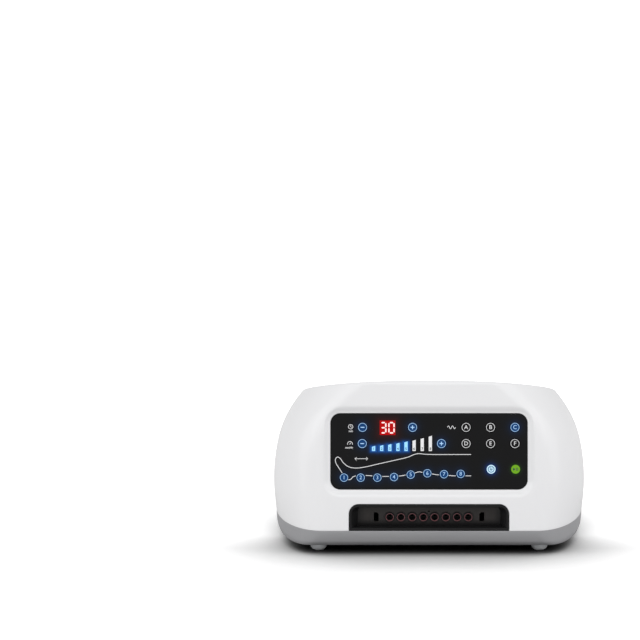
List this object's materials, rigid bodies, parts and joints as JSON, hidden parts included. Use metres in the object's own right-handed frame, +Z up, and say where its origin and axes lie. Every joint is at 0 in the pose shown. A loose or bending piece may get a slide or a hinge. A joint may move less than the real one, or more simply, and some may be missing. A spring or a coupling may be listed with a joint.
{
  "type": "compression therapy pump",
  "caption": "Table-top console of an air compression therapy set: sloping panel of keys and lights over a bay of hose ports, on a tray with rubber feet.",
  "frame": {"origin": "centre of the footprint, on the table", "axes": "+X to the user's right along the width, +Y to the back, +Z up"},
  "size_m": [0.311, 0.2001, 0.1698],
  "materials": {
    "port": "black plastic",
    "tray": "mid grey moulded plastic",
    "screw": "zinc plated",
    "board": "green circuit board",
    "pin": "plated brass",
    "key": "black gloss with printed rings",
    "fitting": "black plastic",
    "lens": "black high gloss",
    "bay": "black satin plastic",
    "seal": "red rubber",
    "tube": "silicone tube",
    "capacitor": "dark sleeve",
    "bars": "lit light guides",
    "core": "laminated iron",
    "chassis": "die cast aluminium",
    "coil": "wound copper on a bobbin",
    "rubber": "black rubber",
    "head": "black nylon",
    "foot": "light grey rubber",
    "switch": "black switch bodies",
    "display": "red lit digits",
    "cover": "glossy white moulded plastic",
    "valve": "grey moulded coils",
    "plunger": "magnetic steel"
  },
  "bodies": {
    "console": {"air_ports": "port", "base_tray": "tray", "case_screws": "screw", "control_board": "board", "foot_screws": "screw", "inlet_pins": "pin", "mains_inlet": "fitting", "panel_lens": "lens", "port_bay": "bay", "port_seals": "seal", "port_tubes": "tube", "power_board": "board", "power_capacitors": "capacitor", "pressure_bars": "bars", "pump_chassis": "chassis", "pump_coils": "coil", "pump_cores": "core", "pump_diaphragms": "rubber", "pump_heads": "head", "pump_isolators": "rubber", "rubber_feet": "foot", "supply_tube": "tube", "switch_body": "fitting", "tact_switches": "switch", "time_display": "display", "top_cover": "cover", "transformer": "core", "valve_coils": "valve", "valve_manifold": "head"},
    "key_mode_a": {"key_mode_a": "key"},
    "key_mode_b": {"key_mode_b": "key"},
    "key_mode_c": {"key_mode_c": "key"},
    "key_mode_d": {"key_mode_d": "key"},
    "key_mode_e": {"key_mode_e": "key"},
    "key_mode_f": {"key_mode_f": "key"},
    "key_position_1": {"key_position_1": "key"},
    "key_position_2": {"key_position_2": "key"},
    "key_position_3": {"key_position_3": "key"},
    "key_position_4": {"key_position_4": "key"},
    "key_position_5": {"key_position_5": "key"},
    "key_position_6": {"key_position_6": "key"},
    "key_position_7": {"key_position_7": "key"},
    "key_position_8": {"key_position_8": "key"},
    "key_power": {"key_power": "key"},
    "key_pressure_minus": {"key_pressure_minus": "key"},
    "key_pressure_plus": {"key_pressure_plus": "key"},
    "key_start_pause": {"key_start_pause": "key"},
    "key_time_minus": {"key_time_minus": "key"},
    "key_time_plus": {"key_time_plus": "key"},
    "valve_plunger_1": {"valve_plunger_1": "plunger"},
    "valve_plunger_2": {"valve_plunger_2": "plunger"},
    "valve_plunger_3": {"valve_plunger_3": "plunger"},
    "valve_plunger_4": {"valve_plunger_4": "plunger"},
    "valve_plunger_5": {"valve_plunger_5": "plunger"},
    "valve_plunger_6": {"valve_plunger_6": "plunger"},
    "valve_plunger_7": {"valve_plunger_7": "plunger"},
    "valve_plunger_8": {"valve_plunger_8": "plunger"},
    "mains_rocker_body": {"mains_rocker": "fitting"},
    "pump_armature_body": {"pump_armature": "core"}
  },
  "joints": [
    {"name": "key_mode_a_press", "type": "slide", "parent": "console", "child": "key_mode_a", "axis": [0, 0.9703, -0.2419], "range_m": [0, 0.0005], "stiffness_N_per_m": 400, "springref_m": -0.001},
    {"name": "key_mode_b_press", "type": "slide", "parent": "console", "child": "key_mode_b", "axis": [0, 0.9703, -0.2419], "range_m": [0, 0.0005], "stiffness_N_per_m": 400, "springref_m": -0.001},
    {"name": "key_mode_c_press", "type": "slide", "parent": "console", "child": "key_mode_c", "axis": [0, 0.9703, -0.2419], "range_m": [0, 0.0005], "stiffness_N_per_m": 400, "springref_m": -0.001},
    {"name": "key_mode_d_press", "type": "slide", "parent": "console", "child": "key_mode_d", "axis": [0, 0.9703, -0.2419], "range_m": [0, 0.0005], "stiffness_N_per_m": 400, "springref_m": -0.001},
    {"name": "key_mode_e_press", "type": "slide", "parent": "console", "child": "key_mode_e", "axis": [0, 0.9703, -0.2419], "range_m": [0, 0.0005], "stiffness_N_per_m": 400, "springref_m": -0.001},
    {"name": "key_mode_f_press", "type": "slide", "parent": "console", "child": "key_mode_f", "axis": [0, 0.9703, -0.2419], "range_m": [0, 0.0005], "stiffness_N_per_m": 400, "springref_m": -0.001},
    {"name": "key_position_1_press", "type": "slide", "parent": "console", "child": "key_position_1", "axis": [0, 0.9703, -0.2419], "range_m": [0, 0.0005], "stiffness_N_per_m": 400, "springref_m": -0.001},
    {"name": "key_position_2_press", "type": "slide", "parent": "console", "child": "key_position_2", "axis": [0, 0.9703, -0.2419], "range_m": [0, 0.0005], "stiffness_N_per_m": 400, "springref_m": -0.001},
    {"name": "key_position_3_press", "type": "slide", "parent": "console", "child": "key_position_3", "axis": [0, 0.9703, -0.2419], "range_m": [0, 0.0005], "stiffness_N_per_m": 400, "springref_m": -0.001},
    {"name": "key_position_4_press", "type": "slide", "parent": "console", "child": "key_position_4", "axis": [0, 0.9703, -0.2419], "range_m": [0, 0.0005], "stiffness_N_per_m": 400, "springref_m": -0.001},
    {"name": "key_position_5_press", "type": "slide", "parent": "console", "child": "key_position_5", "axis": [0, 0.9703, -0.2419], "range_m": [0, 0.0005], "stiffness_N_per_m": 400, "springref_m": -0.001},
    {"name": "key_position_6_press", "type": "slide", "parent": "console", "child": "key_position_6", "axis": [0, 0.9703, -0.2419], "range_m": [0, 0.0005], "stiffness_N_per_m": 400, "springref_m": -0.001},
    {"name": "key_position_7_press", "type": "slide", "parent": "console", "child": "key_position_7", "axis": [0, 0.9703, -0.2419], "range_m": [0, 0.0005], "stiffness_N_per_m": 400, "springref_m": -0.001},
    {"name": "key_position_8_press", "type": "slide", "parent": "console", "child": "key_position_8", "axis": [0, 0.9703, -0.2419], "range_m": [0, 0.0005], "stiffness_N_per_m": 400, "springref_m": -0.001},
    {"name": "key_power_press", "type": "slide", "parent": "console", "child": "key_power", "axis": [0, 0.9703, -0.2419], "range_m": [0, 0.0005], "stiffness_N_per_m": 400, "springref_m": -0.001},
    {"name": "key_pressure_minus_press", "type": "slide", "parent": "console", "child": "key_pressure_minus", "axis": [0, 0.9703, -0.2419], "range_m": [0, 0.0005], "stiffness_N_per_m": 400, "springref_m": -0.001},
    {"name": "key_pressure_plus_press", "type": "slide", "parent": "console", "child": "key_pressure_plus", "axis": [0, 0.9703, -0.2419], "range_m": [0, 0.0005], "stiffness_N_per_m": 400, "springref_m": -0.001},
    {"name": "key_start_pause_press", "type": "slide", "parent": "console", "child": "key_start_pause", "axis": [0, 0.9703, -0.2419], "range_m": [0, 0.0005], "stiffness_N_per_m": 400, "springref_m": -0.001},
    {"name": "key_time_minus_press", "type": "slide", "parent": "console", "child": "key_time_minus", "axis": [0, 0.9703, -0.2419], "range_m": [0, 0.0005], "stiffness_N_per_m": 400, "springref_m": -0.001},
    {"name": "key_time_plus_press", "type": "slide", "parent": "console", "child": "key_time_plus", "axis": [0, 0.9703, -0.2419], "range_m": [0, 0.0005], "stiffness_N_per_m": 400, "springref_m": -0.001},
    {"name": "valve_plunger_1_stroke", "type": "slide", "parent": "console", "child": "valve_plunger_1", "axis": [0, -1, 0], "range_m": [0, 0.0012], "stiffness_N_per_m": 300, "springref_m": -0.0015},
    {"name": "valve_plunger_2_stroke", "type": "slide", "parent": "console", "child": "valve_plunger_2", "axis": [0, -1, 0], "range_m": [0, 0.0012], "stiffness_N_per_m": 300, "springref_m": -0.0015},
    {"name": "valve_plunger_3_stroke", "type": "slide", "parent": "console", "child": "valve_plunger_3", "axis": [0, -1, 0], "range_m": [0, 0.0012], "stiffness_N_per_m": 300, "springref_m": -0.0015},
    {"name": "valve_plunger_4_stroke", "type": "slide", "parent": "console", "child": "valve_plunger_4", "axis": [0, -1, 0], "range_m": [0, 0.0012], "stiffness_N_per_m": 300, "springref_m": -0.0015},
    {"name": "valve_plunger_5_stroke", "type": "slide", "parent": "console", "child": "valve_plunger_5", "axis": [0, -1, 0], "range_m": [0, 0.0012], "stiffness_N_per_m": 300, "springref_m": -0.0015},
    {"name": "valve_plunger_6_stroke", "type": "slide", "parent": "console", "child": "valve_plunger_6", "axis": [0, -1, 0], "range_m": [0, 0.0012], "stiffness_N_per_m": 300, "springref_m": -0.0015},
    {"name": "valve_plunger_7_stroke", "type": "slide", "parent": "console", "child": "valve_plunger_7", "axis": [0, -1, 0], "range_m": [0, 0.0012], "stiffness_N_per_m": 300, "springref_m": -0.0015},
    {"name": "valve_plunger_8_stroke", "type": "slide", "parent": "console", "child": "valve_plunger_8", "axis": [0, -1, 0], "range_m": [0, 0.0012], "stiffness_N_per_m": 300, "springref_m": -0.0015},
    {"name": "mains_rocker_tilt", "type": "hinge", "parent": "console", "child": "mains_rocker_body", "pos_m": [0.043, 0.0942, 0.052], "axis": [1, 0, 0], "range_deg": [-14, 0]},
    {"name": "pump_armature_stroke", "type": "slide", "parent": "console", "child": "pump_armature_body", "axis": [1, 0, 0], "range_m": [-0.0015, 0.0015], "stiffness_N_per_m": 4000, "deforming": ["pump_diaphragms"]}
  ]
}
